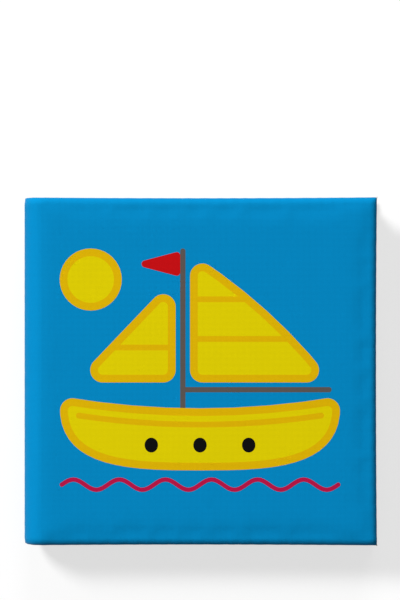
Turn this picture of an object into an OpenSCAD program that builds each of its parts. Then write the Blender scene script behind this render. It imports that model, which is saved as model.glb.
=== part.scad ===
// Soft cloth book with two padded covers, lying closed on its back cover.
// X runs from the spine to the fore edge, Y from the foot to the head, Z through the thickness.
// The origin is under the middle of the back cover, on the surface that the book lies on.

/* [Covers] */
// Width of a cover, from the spine to the fore edge
cover_w = 124; // [112:1:180]
// Height of a cover, from the foot to the head
cover_h = 122; // [112:1:180]
// Thickness of a padded cover
cover_t = 4.5; // [3.5:0.1:7]
// Thickness of a cover where it is pressed flat at the spine seam
fold_t = 1.6; // [1.3:0.1:2.4]
// Width of the curve that the covers make at the spine
spine_round = 7; // [5:0.5:11]
// Thickness of the cloth
cloth_t = 0.4; // [0.25:0.05:0.55]

/* [Pages] */
// Thickness of one inner leaf
leaf_t = 4; // [3:0.1:6]
// Slit between the two inner leaves
leaf_slit = 0.4; // [0.3:0.1:1]
// Distance from the spine to the root of the slit
slit_start = 6; // [5:0.5:12]
// How far the pages stop short of the covers at the fore edge, the head and the foot
page_inset = 1.2; // [0.5:0.1:4]
// Thickness of the sewn web that joins the pages to the spine stitching
web_t = 0.3; // [0.2:0.05:0.4]

/* [Filling] */
// Distance from the spine to the start of the wadding
wadding_start = 5; // [4:0.5:12]
// How far the wadding stops short of the outer edges
wadding_margin = 1.2; // [1:0.1:5]
// Thickness of the crinkle film
film_t = 0.15; // [0.1:0.05:0.3]
// How far the crinkle film stops short of the flat part of the cover
film_margin = 1.5; // [0.5:0.5:10]

/* [Clearances] */
// Gap between a cover and the pages
cover_gap = 0.3; // [0.2:0.05:0.6]
// Gap between the layers inside a cover
layer_gap = 0.1; // [0.05:0.05:0.2]

/* [Sewing] */
// Diameter of the thread in the spine
spine_thread_d = 0.4; // [0.3:0.05:0.45]
// Length of one spine stitch
stitch_l = 3; // [2:0.5:5]
// Space between two spine stitches
stitch_space = 1.2; // [0.8:0.1:3]
// Distance from the head and the foot to the first spine stitch
stitch_end = 5; // [4:0.5:12]
// Diameter of the thread in the seam around a cover
seam_thread_d = 0.3; // [0.2:0.05:0.35]

/* [Cover print] */
// Thickness of the print
print_t = 0.12; // [0.05:0.01:0.3]
// Bare cloth beside the picture, on the left and on the right
print_side = 13; // [11:1:25]
// Bare cloth above the picture
print_head = 18; // [8:1:25]
// Bare cloth below the picture
print_foot = 19; // [8:1:25]
// Width of the outline around each yellow shape
outline_w = 2.7; // [1.5:0.1:3.5]
// Width of the seam lines drawn on the sails and the hull
seam_line_w = 2; // [1:0.1:2.6]
// Clear yellow between the deck's outline and the plank line below it
plank_clear = 2; // [1:0.1:3]
// Width of the mast and the boom
rigging_w = 1.8; // [1:0.1:2.4]
// Corner radius of the yellow shapes
shape_corner = 3; // [2:0.1:4]
// Height of the hull, amidships
hull_h = 19; // [14:1:24]
// Rise of the deck from amidships to each end
hull_sheer = 4; // [1:0.5:7]
// Distance from the middle of the cover to the mast
mast_shift = 6; // [3:0.5:12]
// Clear height from the top of the stern to the boom
boom_rise = 1.6; // [1:0.1:5]
// Clear cloth between a sail and the line next to it
sail_clear = 1.6; // [1:0.1:3]
// How far the head of the mainsail stops below the mast head
mainsail_drop = 3; // [2:0.5:10]
// How far the boom stops short of the stern
boom_short = 4; // [3:0.5:12]
// How far the foot of the foresail stops short of the bow
foresail_short = 8; // [6:0.5:18]
// How far the free edge of the mainsail bellies out
sail_belly = 2.5; // [0.5:0.5:3.5]
// Width of a porthole
porthole_w = 4.7; // [3:0.1:6]
// Height of a porthole
porthole_h = 5.2; // [3:0.1:6]
// Distance between two portholes
porthole_pitch = 17; // [12:0.5:22]
// Length of the pennant
pennant_l = 17; // [10:0.5:20]
// Height of the pennant at the mast
pennant_h = 9; // [6:0.5:10]
// Corner radius of the pennant
pennant_corner = 1.2; // [0.5:0.1:2]
// Radius of the sun
sun_r = 9.5; // [5:0.5:10]
// Width of the wave line
wave_w = 1.5; // [1:0.1:2.5]
// Height of a wave from the trough to the crest
wave_h = 3.6; // [2:0.1:6]
// Number of waves
wave_count = 6; // [3:1:9]
// Clear cloth between the waves and the hull
wave_clear = 2.4; // [1:0.1:5]

/* [Hidden] */
// Steps in the rounding of an edge
edge_steps = 4;
// Steps in the curve at the spine
arc_steps = 6;
// Smallest angle of a rounded edge that ends in a narrow face
blunt_angle = 18;
// Sides of a thread
thread_sides = 8;
// Largest turn between two points of a drawn curve, in degrees
curve_turn = 9;
// Power of the hull's curve: 1 is an ellipse and less is fuller
hull_fullness = 0.7;

half_t = cover_t + cover_gap + leaf_t + leaf_slit / 2;
spine_x = -cover_w / 2;
edge_r = cover_t / 2;
mid_rise = half_t - cover_gap;
inner_reach = spine_round - fold_t;
arc_l = 90 * PI / 180 * sqrt((pow(spine_round - fold_t / 2, 2) + pow(mid_rise - edge_r, 2)) / 2);
section_l = arc_l + cover_w - spine_round;
edge_angles = [for (i = [0:edge_steps]) 90 * i / edge_steps];
blunt_angles = [for (i = [0:edge_steps]) blunt_angle + (90 - blunt_angle) * i / edge_steps];
film_inset = cloth_t + layer_gap;
wadding_top_inset = film_inset + film_t + layer_gap;
seam_inset = cloth_t + layer_gap / 2 + seam_thread_d / 2;

print_left = -cover_w / 2 + print_side;
print_right = cover_w / 2 - print_side;
print_top = cover_h / 2 - print_head;
print_bottom = -cover_h / 2 + print_foot;
wave_y = print_bottom + (wave_h + wave_w) / 2;
keel_y = wave_y + (wave_h + wave_w) / 2 + wave_clear + outline_w / 2;
deck_y = keel_y + hull_h;
hull_reach = (print_right - print_left - outline_w) / 2;
mast_x = -mast_shift;
mast_top = print_top - rigging_w / 2;
boom_y = deck_y + hull_sheer + outline_w / 2 + boom_rise + rigging_w / 2;
foot_y = boom_y + (rigging_w + outline_w) / 2 + sail_clear;
sail_offset = (rigging_w + outline_w) / 2 + sail_clear;
boom_end = print_right - boom_short;
plank_drop = (outline_w + seam_line_w) / 2 + plank_clear;
plank_reach = hull_reach - outline_w / 2 - seam_line_w - plank_clear;
porthole_y = (deck_y - plank_drop - seam_line_w / 2 + keel_y + outline_w / 2) / 2;

// Direction of a vector
function unit(v) = v / norm(v);

// Curve that the outside of the front cover follows, d being the length along it from the spine seam
function outer_curve(d) =
    let (t = 90 * min(d, arc_l) / arc_l)
    [spine_round * (1 - cos(t)) + max(d - arc_l, 0), cover_gap + mid_rise * sin(t)];

// Curve that the inside of the front cover follows
function inner_curve(d) =
    let (t = 90 * min(d, arc_l) / arc_l)
    [fold_t + inner_reach * (1 - cos(t)) + max(d - arc_l, 0),
     cover_gap + (mid_rise - cover_t) * sin(t)];

// Middle of the cover, half way between its two sides
function middle(d) = (outer_curve(d) + inner_curve(d)) / 2;

// Vector from the middle of the cover to its outside
function half_wall(d) = (outer_curve(d) - inner_curve(d)) / 2;

// Places along the section as [length, share of the thickness], from the spine seam to the fore edge
function section_stations(start, margin, inset, angles) =
    let (r0 = norm(half_wall(start)))
    concat(
        [for (a = angles) [start + inset + (r0 - inset) * (1 - cos(a)), sin(a)]],
        [for (i = [1:arc_steps]) [start + r0 + (arc_l - start - r0) * i / arc_steps, 1]],
        [for (i = [len(angles) - 1:-1:0])
            [section_l - margin - (edge_r - inset) * (1 - cos(angles[i])), sin(angles[i])]]);

// Places up the cover as [height, share of the thickness], from the foot to the head
function height_stations(height, margin, inset, angles) =
    let (half = [for (a = angles) [height / 2 - margin - (edge_r - inset) * (1 - cos(a)), sin(a)]])
    concat(
        [for (s = half) [-s[0], s[1]]],
        [for (i = [len(half) - 1:-1:0]) half[i]]);

// Skin of the front cover: side is 1 outside and -1 inside, inset is its depth below the surface
function cover_skin(side, start, margin, inset, edge_inset, angles) =
    [for (s = section_stations(start, margin, edge_inset, angles))
        [for (h = height_stations(cover_h, margin, edge_inset, angles))
            let (wall = half_wall(s[0]),
                 p = middle(s[0]) + side * s[1] * h[1] * wall * (1 - inset / norm(wall)))
            [spine_x + p[0], h[0], half_t + p[1]]]];

// Numbers of the points around the rim of a grid with m rows of n points
function rim(m, n) = concat(
    [for (j = [0:n - 2]) j],
    [for (i = [0:m - 2]) i * n + n - 1],
    [for (j = [n - 1:-1:1]) (m - 1) * n + j],
    [for (i = [m - 1:-1:1]) i * n]);

// Triangles over a grid whose first point has number base
function grid_faces(m, n, base, turned) =
    [for (i = [0:m - 2], j = [0:n - 2], k = [0:1])
        let (a = base + i * n + j,
             f = k == 0 ? [a, a + 1, a + n] : [a + 1, a + n + 1, a + n])
        turned ? [f[2], f[1], f[0]] : f];

// Closed solid between an upper and a lower grid of the same size
module slab(upper, lower) {
    m = len(upper);
    n = len(upper[0]);
    edge = rim(m, n);
    sides = [for (k = [0:len(edge) - 1], h = [0:1])
        let (a = edge[k], b = edge[(k + 1) % len(edge)])
        h == 0 ? [a, a + m * n, b] : [b, a + m * n, b + m * n]];
    polyhedron(
        points = concat([for (row = upper) each row], [for (row = lower) each row]),
        faces = concat(grid_faces(m, n, 0, false), grid_faces(m, n, m * n, true), sides));
}

// Tube of diameter d along a path of points that stays level or climbs in X and Z
module thread(path, d) {
    last = len(path) - 1;
    rings = [for (i = [0:last])
        let (along = unit(path[min(i + 1, last)] - path[max(i - 1, 0)]),
             up = unit(cross(along, cross([0, 0, 1], along))),
             side = cross(along, up))
        for (k = [0:thread_sides - 1])
            let (a = 360 * k / thread_sides)
            path[i] + d / 2 * (cos(a) * up + sin(a) * side)];
    sides = [for (i = [0:last - 1], k = [0:thread_sides - 1], h = [0:1])
        let (a = i * thread_sides + k, b = i * thread_sides + (k + 1) % thread_sides)
        h == 0 ? [a, a + thread_sides, b] : [b, a + thread_sides, b + thread_sides]];
    polyhedron(
        points = rings,
        faces = concat(
            sides,
            [[for (k = [0:thread_sides - 1]) k]],
            [[for (k = [thread_sides - 1:-1:0]) last * thread_sides + k]]));
}

// Turns a piece of the front cover into the one of the back cover
module turned_over() {
    translate([0, 0, 2 * half_t]) mirror([0, 0, 1]) children();
}

module cover_cloth(side) {
    skin = cover_skin(side, 0, 0, 0, 0, edge_angles);
    under = cover_skin(side, 0, cloth_t, cloth_t, cloth_t, edge_angles);
    if (side > 0) slab(skin, under);
    else slab(under, skin);
}

module cover_wadding() {
    slab(
        cover_skin(1, wadding_start, wadding_margin, wadding_top_inset, wadding_top_inset, blunt_angles),
        cover_skin(-1, wadding_start, wadding_margin, film_inset, wadding_top_inset, blunt_angles));
}

module cover_film() {
    near = spine_x + spine_round + film_margin;
    far = cover_w / 2 - edge_r - film_margin;
    reach = cover_h / 2 - edge_r - film_margin;
    translate([near, -reach, 2 * half_t - film_inset - film_t])
        cube([far - near, 2 * reach, film_t]);
}

// Seam thread along the foot, the fore edge and the head, inside the rim of the cover
module cover_seam_thread() {
    reach = cover_h / 2 - seam_inset;
    far = section_l - seam_inset;
    side = [for (i = [0:arc_steps + 1]) fold_t + (arc_l - fold_t) * i / arc_steps];
    corner = edge_r;
    bend = [for (i = [0:edge_steps]) 90 * i / edge_steps];
    foot = concat(
        [for (d = side) [d, -reach]],
        [for (a = bend) [far - corner + corner * sin(a), -reach + corner - corner * cos(a)]]);
    route = concat(foot, [for (i = [len(foot) - 1:-1:0]) [foot[i][0], -foot[i][1]]]);
    thread([for (q = route) let (p = middle(q[0])) [spine_x + p[0], q[1], half_t + p[1]]],
           seam_thread_d);
}

module front_panel() { color("#0087c2") cover_cloth(1); }

module front_lining() { color("#f1eee6") cover_cloth(-1); }

module front_wadding() { color("#fbfaf6") cover_wadding(); }

module front_crinkle_film() { color("#dfe6ea") cover_film(); }

module front_seam_thread() { color("#1578a8") cover_seam_thread(); }

module back_panel() { color("#0087c2") turned_over() cover_cloth(1); }

module back_lining() { color("#f1eee6") turned_over() cover_cloth(-1); }

module back_wadding() { color("#fbfaf6") turned_over() cover_wadding(); }

module back_crinkle_film() { color("#dfe6ea") turned_over() cover_film(); }

module back_seam_thread() { color("#1578a8") turned_over() cover_seam_thread(); }

// Two inner leaves made of one folded sheet, with the sewn web at its fold
module pages() {
    root = slit_start;
    page_w = cover_w - page_inset;
    rise = leaf_t + leaf_slit / 2;
    web = web_t / 2;
    leaf_r = leaf_t / 2;
    start = fold_t + cover_gap;
    curve = [for (i = [0:arc_steps]) 90 * i / arc_steps];
    // Places on one leaf as [outside, inside, share of the thickness], from the web to the fore edge
    leaf = concat(
        [[[spine_thread_d, web], [root, leaf_slit / 2], 1]],
        [for (t = curve)
            [[start + inner_reach * (1 - cos(t)), web + (rise - web) * sin(t)],
             [root + (1 - cos(t)) * (start + inner_reach - root), leaf_slit / 2], 1]],
        [for (i = [len(blunt_angles) - 1:-1:0])
            let (x = page_w - leaf_r * (1 - cos(blunt_angles[i])))
            [[x, rise], [x, leaf_slit / 2], sin(blunt_angles[i])]]);
    rows = concat(
        [for (i = [len(leaf) - 1:-1:0]) [leaf[i], 1]],
        [for (q = leaf) [q, -1]]);
    heights = height_stations(cover_h, page_inset, edge_r - leaf_r, blunt_angles);
    skins = [for (side = [1, -1])
        [for (q = rows)
            [for (h = heights)
                let (p = (q[0][0] + q[0][1]) / 2 + side * h[1] * q[0][2] * (q[0][0] - q[0][1]) / 2)
                [spine_x + p[0], h[0], half_t + q[1] * p[1]]]]];
    color("#f4f1e8") slab(skins[0], skins[1]);
}

// Saddle stitches along the spine
module spine_stitching() {
    run = cover_h - 2 * stitch_end;
    pitch = stitch_l + stitch_space;
    count = floor((run + stitch_space) / pitch);
    first = -(count * pitch - stitch_space) / 2;
    color("#1578a8")
        for (i = [0:count - 1])
            translate([spine_x + spine_thread_d / 2, first + i * pitch, half_t])
                rotate([-90, 0, 0]) cylinder(d = spine_thread_d, h = stitch_l, $fn = 24);
}

// Signed turn from one direction to another
function turn(u, v) = atan2(u[0] * v[1] - u[1] * v[0], u[0] * v[0] + u[1] * v[1]);

// Points of a closed outline drawn anticlockwise, with round corners of radius r, moved out by d
function rounded(p, r, d) =
    [for (k = [0:len(p) - 1])
        let (a = p[(k + len(p) - 1) % len(p)], b = p[k], c = p[(k + 1) % len(p)],
             u = unit(b - a), w = turn(u, c - b), s = sign(w),
             middle = b - u * r * tan(abs(w) / 2) + s * r * [-u[1], u[0]],
             steps = max(ceil(abs(w) / curve_turn), 1))
        for (i = [0:steps])
            let (h = atan2(u[1], u[0]) + w * i / steps)
            middle + (s * r + d) * [sin(h), -cos(h)]];

// Points of a curve from a to c that bellies out by rise on its right
function belly(a, c, rise, steps) =
    [for (i = [0:steps])
        let (t = i / steps, across = unit([c[1] - a[1], a[0] - c[0]]))
        a + (c - a) * t + across * 4 * rise * t * (1 - t)];

// Points of a half circle of width w about p that faces the angle h
function round_end(p, h, w) =
    [for (a = [curve_turn - 90:curve_turn:89]) p + w / 2 * [cos(h + a), sin(h + a)]];

// Points of a line of width w with round ends, drawn through the points p
function stroke(p, w) =
    let (last = len(p) - 1,
         along = [for (i = [0:last]) unit(p[min(i + 1, last)] - p[max(i - 1, 0)])],
         side = [for (u = along) w / 2 * [-u[1], u[0]]])
    concat(
        [for (i = [0:last]) p[i] - side[i]],
        round_end(p[last], atan2(along[last][1], along[last][0]), w),
        [for (i = [last:-1:0]) p[i] + side[i]],
        round_end(p[0], atan2(-along[0][1], -along[0][0]), w));

// Points of an ellipse
function ellipse(centre, w, h) =
    [for (a = [0:curve_turn:359]) centre + [w / 2 * cos(a), h / 2 * sin(a)]];

// Height of the hull's deck line, at a distance x from amidships
function deck(x) = deck_y + hull_sheer * pow(x / hull_reach, 2);

// Hull: a bowl below and a hollow deck line above
hull_points = concat(
    [for (a = [180:6:360])
        let (x = hull_reach * sign(cos(a)) * pow(abs(cos(a)), hull_fullness),
             top = deck(hull_reach * cos(a)))
        [x, top + (keel_y - top) * pow(abs(sin(a)), hull_fullness)]],
    [for (x = [0.75:-0.25:-0.75]) [hull_reach * x, deck(hull_reach * x)]]);

sun_centre = [print_left + sun_r + outline_w / 2, print_top - sun_r - outline_w / 2];

main_tack = [mast_x + sail_offset, foot_y];
main_clew = [boom_end - outline_w / 2, foot_y];
main_head = [mast_x + sail_offset, mast_top - mainsail_drop];
mainsail_points = concat([main_tack], belly(main_clew, main_head, sail_belly, 6));

fore_tack = [mast_x - sail_offset, foot_y];
fore_foot = [print_left + foresail_short, foot_y];
fore_head = [mast_x - sail_offset, mast_top - pennant_h - sail_clear - outline_w / 2];
foresail_points = [fore_tack, fore_head, fore_foot];

shapes = [hull_points, mainsail_points, foresail_points];

// Seam lines drawn across the sails, and the plank line drawn along the hull
module seam_lines() {
    for (k = [1:2])
        let (y = foot_y + (main_head[1] - foot_y) * k / 3)
        polygon(stroke([[main_tack[0], y], [main_clew[0], y]], seam_line_w));
    let (y = foot_y + (fore_head[1] - foot_y) / 3)
        polygon(stroke([[fore_foot[0], y], [fore_tack[0], y]], seam_line_w));
    polygon(stroke(
        [for (i = [-6:6]) let (x = plank_reach * i / 6) [x, deck(x) - plank_drop]],
        seam_line_w));
}

module porthole_shapes() {
    for (i = [-1:1])
        polygon(ellipse([i * porthole_pitch, porthole_y], porthole_w, porthole_h));
}

// Lays a flat drawing on the front cover
module printed() {
    translate([0, 0, 2 * half_t]) linear_extrude(print_t) children();
}

module print_yellow() {
    color("#dbca00") printed() {
        difference() {
            union() for (s = shapes) polygon(rounded(s, shape_corner, -outline_w / 2));
            seam_lines();
            porthole_shapes();
        }
        polygon(ellipse(sun_centre, 2 * sun_r - outline_w, 2 * sun_r - outline_w));
    }
}

module print_outline() {
    color("#dab002") printed() {
        for (s = shapes)
            difference() {
                polygon(rounded(s, shape_corner, outline_w / 2));
                polygon(rounded(s, shape_corner, -outline_w / 2));
            }
        intersection() {
            seam_lines();
            union() for (s = shapes) polygon(rounded(s, shape_corner, -outline_w / 2));
        }
        difference() {
            polygon(ellipse(sun_centre, 2 * sun_r + outline_w, 2 * sun_r + outline_w));
            polygon(ellipse(sun_centre, 2 * sun_r - outline_w, 2 * sun_r - outline_w));
        }
    }
}

module print_rigging() {
    color("#5a5350") printed() {
        difference() {
            polygon(stroke([[mast_x, deck(mast_x)], [mast_x, mast_top]], rigging_w));
            polygon(rounded(hull_points, shape_corner, outline_w / 2));
        }
        polygon(stroke([[mast_x, boom_y], [boom_end, boom_y]], rigging_w));
    }
}

module print_portholes() {
    color("#0a0a0a") printed() porthole_shapes();
}

module print_pennant() {
    near = mast_x - rigging_w / 2;
    color("#c10c11") printed()
        polygon(rounded(
            [[near, mast_top], [near - pennant_l, mast_top - pennant_h / 2], [near, mast_top - pennant_h]],
            pennant_corner, 0));
}

module print_waves() {
    reach = (print_right - print_left - wave_w) / 2;
    steps = 16 * wave_count;
    color("#b51344") printed()
        polygon(stroke(
            [for (i = [0:steps])
                [reach * (2 * i / steps - 1), wave_y + wave_h / 2 * sin(360 * wave_count * i / steps)]],
            wave_w));
}

front_panel();
front_lining();
front_wadding();
front_crinkle_film();
front_seam_thread();
print_yellow();
print_outline();
print_rigging();
print_portholes();
print_pennant();
print_waves();
pages();
spine_stitching();
back_panel();
back_lining();
back_wadding();
back_crinkle_film();
back_seam_thread();
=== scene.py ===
"""Dresses the soft cloth book in its cloths, stitches and print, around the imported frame.

The book lies closed on its back cover. X runs from the spine to the fore edge, Y from the foot
to the head and Z through the thickness. Lengths are in millimetres until a mesh is made.
"""

from __future__ import annotations

import logging
import math
from dataclasses import dataclass, field
from enum import Enum

import bmesh
import bpy
import numpy as np
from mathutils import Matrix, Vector, noise
from mathutils.bvhtree import BVHTree
from mathutils.interpolate import poly_3d_calc


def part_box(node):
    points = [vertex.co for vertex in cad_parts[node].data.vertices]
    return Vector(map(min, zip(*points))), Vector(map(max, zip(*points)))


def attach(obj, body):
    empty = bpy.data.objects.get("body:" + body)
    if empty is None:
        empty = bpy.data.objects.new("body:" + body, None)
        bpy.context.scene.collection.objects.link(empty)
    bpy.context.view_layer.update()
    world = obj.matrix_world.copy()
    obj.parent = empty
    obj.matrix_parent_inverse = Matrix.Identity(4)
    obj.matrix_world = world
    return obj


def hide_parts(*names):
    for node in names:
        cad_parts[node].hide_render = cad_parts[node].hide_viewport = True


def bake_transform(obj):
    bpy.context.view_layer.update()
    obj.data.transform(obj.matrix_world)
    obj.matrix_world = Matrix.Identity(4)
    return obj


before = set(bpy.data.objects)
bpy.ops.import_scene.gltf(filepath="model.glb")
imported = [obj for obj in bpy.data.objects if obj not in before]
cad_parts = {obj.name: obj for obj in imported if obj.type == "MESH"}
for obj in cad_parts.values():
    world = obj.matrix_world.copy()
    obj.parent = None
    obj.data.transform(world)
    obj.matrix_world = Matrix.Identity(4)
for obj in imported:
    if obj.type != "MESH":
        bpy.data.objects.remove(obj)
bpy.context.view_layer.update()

LOG = logging.getLogger("cloth_book")
MM = 0.001
# Painted shade in the weave's gaps, weaker for the pale cloths and the inks.
LIGHT_GAP_SHADE = 0.12
LINING_SWELL_SHARE = 0.12
FLAT = "flat_cloth_mm"
Colour = tuple[float, float, float]
Rows = np.ndarray
Places = list[tuple[float, float, float]]


def linear(red: int, green: int, blue: int) -> Colour:
    """Turn a colour written in 0 to 255 into linear light.

    Args:
        red: Red as written.
        green: Green as written.
        blue: Blue as written.

    Returns:
        The linear colour.
    """
    shares = (value / 255 for value in (red, green, blue))
    return tuple(s / 12.92 if s <= 0.04045 else ((s + 0.055) / 1.055) ** 2.4 for s in shares)


def tinted(colour: Colour, factor: float) -> Colour:
    """Make a colour darker or lighter by a factor."""
    return tuple(min(channel * factor, 1.0) for channel in colour)


class Dye(Enum):
    """Colours of the cloths, the threads, the filling and the inks."""

    BLUE = linear(0, 135, 194)
    OFF_WHITE = linear(221, 217, 206)
    BLUE_THREAD = linear(6, 122, 178)
    FIBRE = linear(250, 248, 242)
    FILM = linear(222, 230, 234)
    YELLOW = linear(219, 202, 0)
    OCHRE = linear(218, 176, 2)
    GREY = linear(90, 83, 80)
    BLACK = linear(12, 12, 13)
    RED = linear(193, 12, 17)
    MAGENTA = linear(181, 19, 68)


class Side(Enum):
    """Which cover or leaf a piece belongs to, as its direction from the middle along Z."""

    FRONT = 1
    BACK = -1

    @property
    def word(self) -> str:
        """Name of the side, as the nodes and bodies write it."""
        return self.name.lower()


class Face(Enum):
    """Which face of a padded leaf a cloth makes: the outer one or the one towards the pages."""

    OUTER = 1
    INNER = -1


class NodePen:
    """Draws a material's nodes one after another."""

    def __init__(self, name: str) -> None:
        """Start an empty node material.

        Args:
            name: The material's name.
        """
        self.material = bpy.data.materials.new(name)
        self.material.use_nodes = True
        self.tree = self.material.node_tree
        self.tree.nodes.clear()

    def add(self, kind: str, **settings: object) -> bpy.types.Node:
        """Add a node.

        Args:
            kind: Blender's name of the node, without ShaderNode.
            **settings: The node's own settings.

        Returns:
            The node.
        """
        node = self.tree.nodes.new("ShaderNode" + kind)
        for name, value in settings.items():
            setattr(node, name, value)
        return node

    def feed(self, target: bpy.types.NodeSocket, value: object) -> None:
        """Link a socket to a target, or set a plain value or colour on it.

        Args:
            target: The socket that takes the value.
            value: A socket, a number or a colour.
        """
        if isinstance(value, bpy.types.NodeSocket):
            self.tree.links.new(value, target)
        elif target.type == "RGBA":
            target.default_value = (*value, 1.0)
        else:
            target.default_value = value

    def math(self, operation: str, *values: object) -> bpy.types.NodeSocket:
        """Add a maths node.

        Args:
            operation: What it does, such as ADD.
            *values: Sockets or numbers.

        Returns:
            Its result.
        """
        node = self.add("Math", operation=operation)
        for target, value in zip(node.inputs, values):
            self.feed(target, value)
        return node.outputs[0]

    def noise(
        self, place: bpy.types.NodeSocket, scale: float, detail: float = 2.0
    ) -> bpy.types.NodeSocket:
        """Add soft noise about 0.5.

        Args:
            place: The coordinates.
            scale: Lumps for each unit of length.
            detail: Finer layers on top.

        Returns:
            The noise, as one number.
        """
        node = self.add("TexNoise")
        self.feed(node.inputs["Vector"], place)
        self.feed(node.inputs["Scale"], scale)
        self.feed(node.inputs["Detail"], detail)
        return node.outputs["Fac"]

    def blend(
        self, share: object, first: object, second: object, mode: str = "MIX"
    ) -> bpy.types.NodeSocket:
        """Mix two colours.

        Args:
            share: How much of the second, as a socket or a number.
            first: The first colour.
            second: The second colour.
            mode: How they mix.

        Returns:
            The mixed colour.
        """
        node = self.add("Mix", data_type="RGBA", blend_type=mode)
        self.feed(node.inputs[0], share)
        self.feed(node.inputs[6], first)
        self.feed(node.inputs[7], second)
        return node.outputs[2]

    def bump(self, height: bpy.types.NodeSocket, depth: float) -> bpy.types.NodeSocket:
        """Turn a height into a bumped normal.

        Args:
            height: The height, from 0 to 1.
            depth: Its real depth in millimetres.

        Returns:
            The normal.
        """
        node = self.add("Bump")
        self.feed(node.inputs["Distance"], depth * MM)
        self.feed(node.inputs["Height"], height)
        return node.outputs[0]

    def principled(self, colour: object, normal: object, **values: object) -> bpy.types.Material:
        """Finish with a principled surface.

        Args:
            colour: The base colour.
            normal: The normal.
            **values: Other sockets by name, with _ for each space.

        Returns:
            The finished material.
        """
        surface = self.add("BsdfPrincipled")
        self.feed(surface.inputs["Base Color"], colour)
        self.feed(surface.inputs["Normal"], normal)
        for name, value in values.items():
            self.feed(surface.inputs[name.replace("_", " ")], value)
        return self.finish(surface.outputs[0])

    def finish(self, shader: bpy.types.NodeSocket) -> bpy.types.Material:
        """Send a shader to the output.

        Args:
            shader: The shader's socket.

        Returns:
            The finished material.
        """
        self.feed(self.add("OutputMaterial").inputs["Surface"], shader)
        return self.material


@dataclass(frozen=True)
class ClothFinish:
    """A fine plain-weave cloth, dyed or printed, with an undyed back where one is given.

    Its threads follow the cloth's own flat coordinates, so they turn with every edge and fold.
    Their third number is 1 on the back of the cloth and 0 on its front.
    """

    name: str
    colour: Colour
    pitch: float = 0.42
    wander: float = 0.45
    roughness: float = 0.8
    specular: float = 0.04
    sheen: float = 0.2
    relief: float = 0.05
    # The weave's gaps get painted shade and its threads a painted highlight, as darker and lighter
    # copies of the colour.
    gap_shade: float = 0.24
    thread_highlight: float = 1.07
    mottle: float = 0.05
    undyed: Colour | None = None

    def weave(self, pen: NodePen, flat: bpy.types.NodeSocket) -> bpy.types.NodeSocket:
        """Draw the height of a plain weave.

        Args:
            pen: The material's pen.
            flat: The cloth's flat coordinates, in millimetres.

        Returns:
            The height, from 0 in the gaps to 1 on the threads.
        """
        drift = pen.add("TexNoise")
        pen.feed(drift.inputs["Vector"], flat)
        pen.feed(drift.inputs["Scale"], 0.9 / self.pitch)
        moved = pen.add("VectorMath", operation="MULTIPLY_ADD")
        pen.feed(moved.inputs[0], drift.outputs["Color"])
        pen.feed(moved.inputs[1], (self.wander * self.pitch, self.wander * self.pitch, 0.0))
        pen.feed(moved.inputs[2], flat)
        split = pen.add("SeparateXYZ")
        pen.feed(split.inputs[0], moved.outputs[0])
        waves = [
            pen.math("SINE", pen.math("MULTIPLY", split.outputs[axis], math.pi / self.pitch))
            for axis in (0, 1)
        ]
        over = pen.math("MULTIPLY", *waves)
        threads = [
            pen.math(
                "MULTIPLY",
                pen.math("POWER", pen.math("ABSOLUTE", wave), 0.6),
                pen.math("MULTIPLY_ADD", over, lift, 0.6),
            )
            for wave, lift in zip(waves, (0.4, -0.4))
        ]
        return pen.math("MAXIMUM", *threads)

    def material(self) -> bpy.types.Material:
        """Make the cloth's material.

        Returns:
            The material.
        """
        pen = NodePen(self.name)
        flat = pen.add("Attribute", attribute_name=FLAT).outputs["Vector"]
        height = self.weave(pen, flat)
        fibre = pen.noise(flat, 4.0 / self.pitch, 3.0)
        cloudy = pen.noise(flat, 0.045)
        shade = pen.math(
            "ADD",
            pen.math("MULTIPLY", cloudy, self.mottle),
            pen.math("MULTIPLY_ADD", fibre, self.mottle, 1 - self.mottle),
        )
        # Painted shade in the gaps between threads and a painted highlight on the threads.
        threads = pen.blend(
            height, tinted(self.colour, 1 - self.gap_shade), tinted(self.colour, self.thread_highlight)
        )
        if self.undyed:
            split = pen.add("SeparateXYZ")
            pen.feed(split.inputs[0], flat)
            back = pen.math("GREATER_THAN", split.outputs["Z"], 0.98)
            threads = pen.blend(back, threads, self.undyed)
        grey = pen.add("CombineColor")
        for target in grey.inputs[:3]:
            pen.feed(target, shade)
        return pen.principled(
            pen.blend(1.0, threads, grey.outputs[0], "MULTIPLY"),
            pen.bump(pen.math("MULTIPLY_ADD", fibre, 0.35, height), self.relief),
            Roughness=pen.math("MULTIPLY_ADD", fibre, 0.16, self.roughness - 0.08),
            Specular_IOR_Level=self.specular,
            Sheen_Weight=self.sheen,
            Sheen_Roughness=0.3,
        )


@dataclass(frozen=True)
class ThreadFinish:
    """Spun sewing thread with fine fibres."""

    name: str
    colour: Colour
    fibres_per_m: float = 9000.0

    def material(self) -> bpy.types.Material:
        """Make the thread's material.

        Returns:
            The material.
        """
        pen = NodePen(self.name)
        fibre = pen.noise(pen.add("TexCoord").outputs["Object"], self.fibres_per_m, 3.0)
        return pen.principled(
            pen.blend(fibre, tinted(self.colour, 0.7), tinted(self.colour, 1.15)),
            pen.bump(fibre, 0.05),
            Roughness=0.6,
            Specular_IOR_Level=0.3,
            Sheen_Weight=0.15,
        )


@dataclass(frozen=True)
class WaddingFinish:
    """Lofted polyester wadding, with loose fibres."""

    name: str
    colour: Colour
    lumps_per_m: float = 900.0

    def material(self) -> bpy.types.Material:
        """Make the wadding's material.

        Returns:
            The material.
        """
        pen = NodePen(self.name)
        lumps = pen.noise(pen.add("TexCoord").outputs["Object"], self.lumps_per_m, 6.0)
        return pen.principled(
            pen.blend(lumps, tinted(self.colour, 0.82), self.colour),
            pen.bump(lumps, 0.4),
            Roughness=0.95,
            Sheen_Weight=0.3,
        )


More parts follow.
